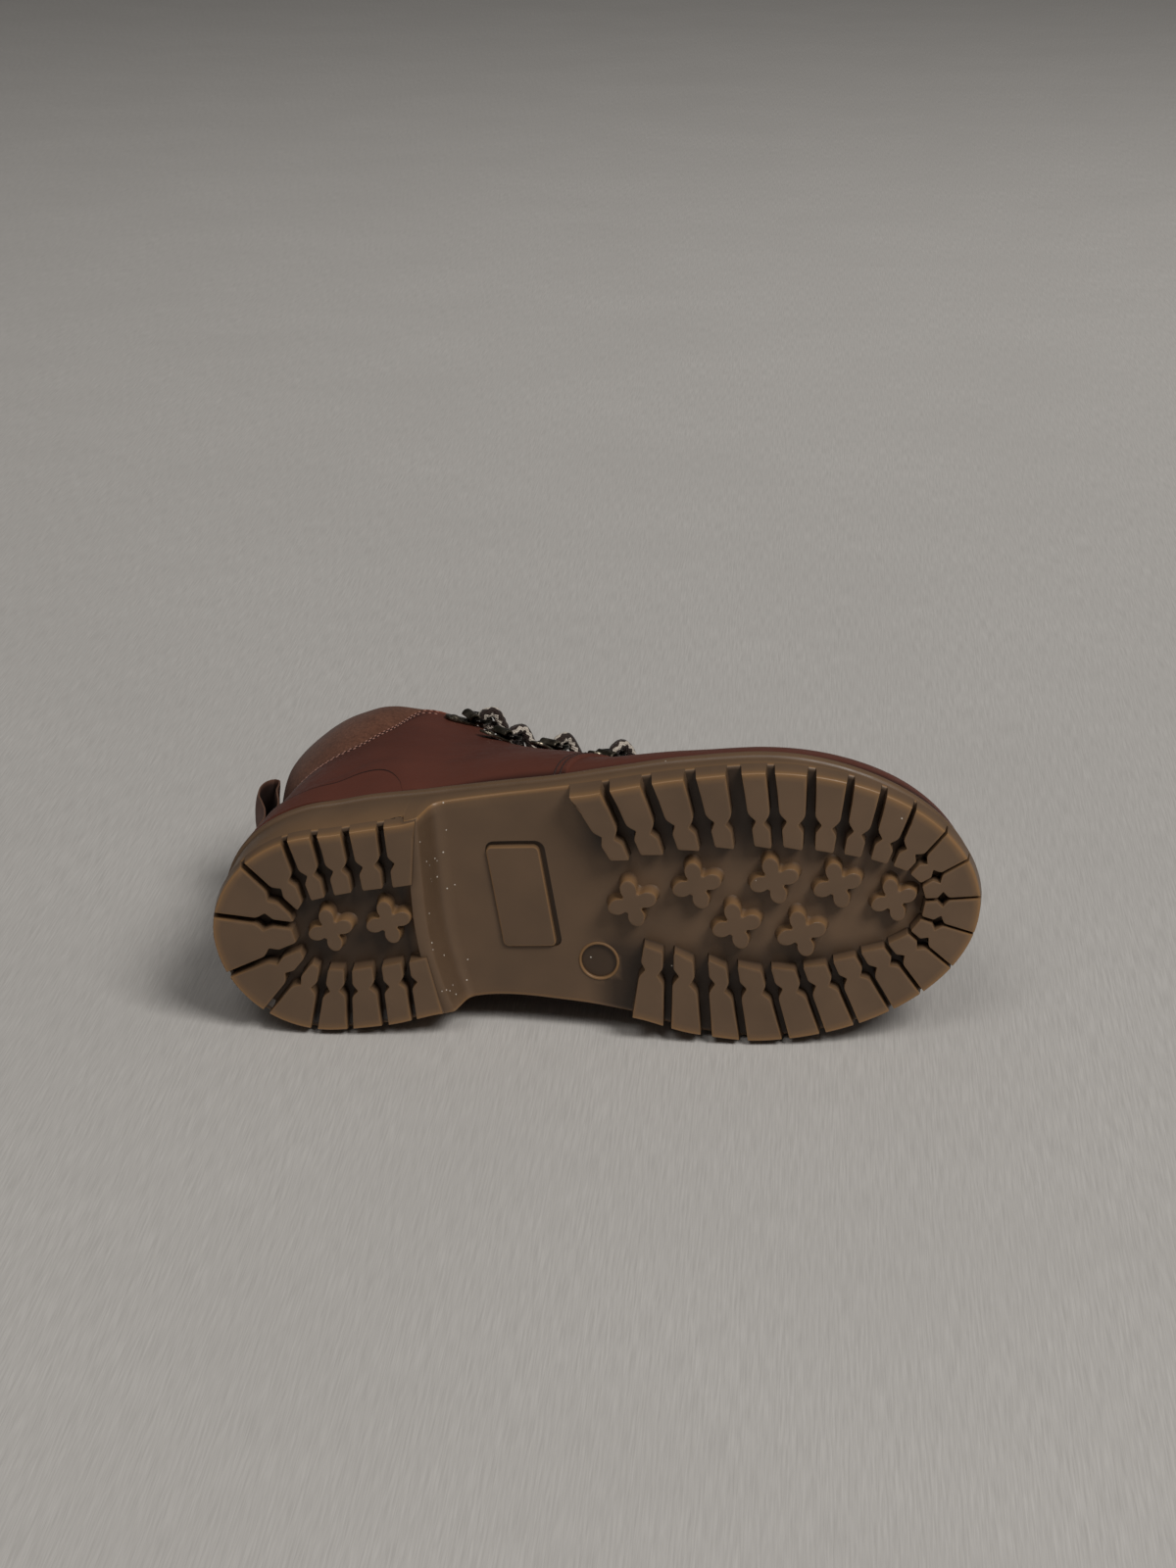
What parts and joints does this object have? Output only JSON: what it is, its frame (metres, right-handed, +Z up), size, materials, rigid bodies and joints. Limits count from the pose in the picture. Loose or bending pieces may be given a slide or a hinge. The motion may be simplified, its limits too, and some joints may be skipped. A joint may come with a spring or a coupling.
{
  "type": "leather boot",
  "caption": "Child's lace-up leather ankle boot with a lugged rubber sole, padded collar, ring lacing and heel pull loop, lying on its inner side.",
  "frame": {"origin": "on the floor, under the middle of the boot's box as it lies on its inner side", "axes": "+X from heel to toe, +Y from the tread up to the collar, +Z up from the floor to the outer side"},
  "size_m": [0.2292, 0.1252, 0.0865],
  "materials": {
    "gum_rubber": "moulded gum rubber, satin",
    "smooth_leather": "smooth waxed leather",
    "nubuck": "padded nubuck, matt",
    "strap_leather": "strap leather, satin",
    "lining": "woven lining",
    "lace": "round braid in two colours",
    "gunmetal": "dark gunmetal"
  },
  "bodies": {
    "root": {"outsole": "gum_rubber", "insole": "lining", "upper": "smooth_leather", "heel_counter": "smooth_leather", "collar": "nubuck", "tongue": "smooth_leather", "pull_loop": "strap_leather", "lace_clip_outer_1": "gunmetal", "lace_clip_outer_2": "gunmetal", "lace_clip_outer_3": "gunmetal", "lace_clip_outer_4": "gunmetal", "lace_clip_outer_5": "gunmetal", "lace_clip_inner_1": "gunmetal", "lace_clip_inner_2": "gunmetal", "lace_clip_inner_3": "gunmetal", "lace_clip_inner_4": "gunmetal", "lace_clip_inner_5": "gunmetal", "lace_ring_outer_1": "gunmetal", "lace_ring_outer_2": "gunmetal", "lace_ring_outer_3": "gunmetal", "lace_ring_outer_4": "gunmetal", "lace_ring_outer_5": "gunmetal", "lace_ring_inner_1": "gunmetal", "lace_ring_inner_2": "gunmetal", "lace_ring_inner_3": "gunmetal", "lace_ring_inner_4": "gunmetal", "lace_ring_inner_5": "gunmetal", "lace_cross_1": "lace", "lace_cross_2": "lace", "lace_cross_3": "lace", "lace_cross_4": "lace", "lace_bar": "lace"}
  },
  "joints": []
}
